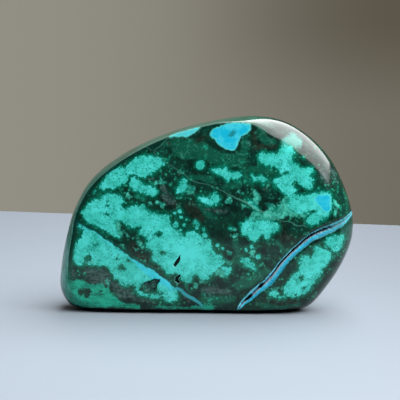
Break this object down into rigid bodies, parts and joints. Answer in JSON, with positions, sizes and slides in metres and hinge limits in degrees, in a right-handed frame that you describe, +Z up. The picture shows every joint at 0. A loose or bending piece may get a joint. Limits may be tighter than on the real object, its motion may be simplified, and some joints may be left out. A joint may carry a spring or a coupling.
{
  "type": "polished chrysocolla specimen",
  "caption": "Hand-polished freeform of chrysocolla in malachite, with a gently crowned face and an open fissure, on a flat ground base.",
  "frame": {"origin": "on the flat underside, below the middle of the stone's box", "axes": "+X along the stone's length, to the right for somebody looking at its face; -Y out of the face; +Z up from the underside"},
  "size_m": [0.0974, 0.0336, 0.0649],
  "materials": {
    "chrysocolla": "polished to a gloss: turquoise and sky-blue chrysocolla in dark green and mid green malachite, with a rougher open fissure"
  },
  "bodies": {
    "root": {"stone": "chrysocolla"}
  },
  "joints": []
}
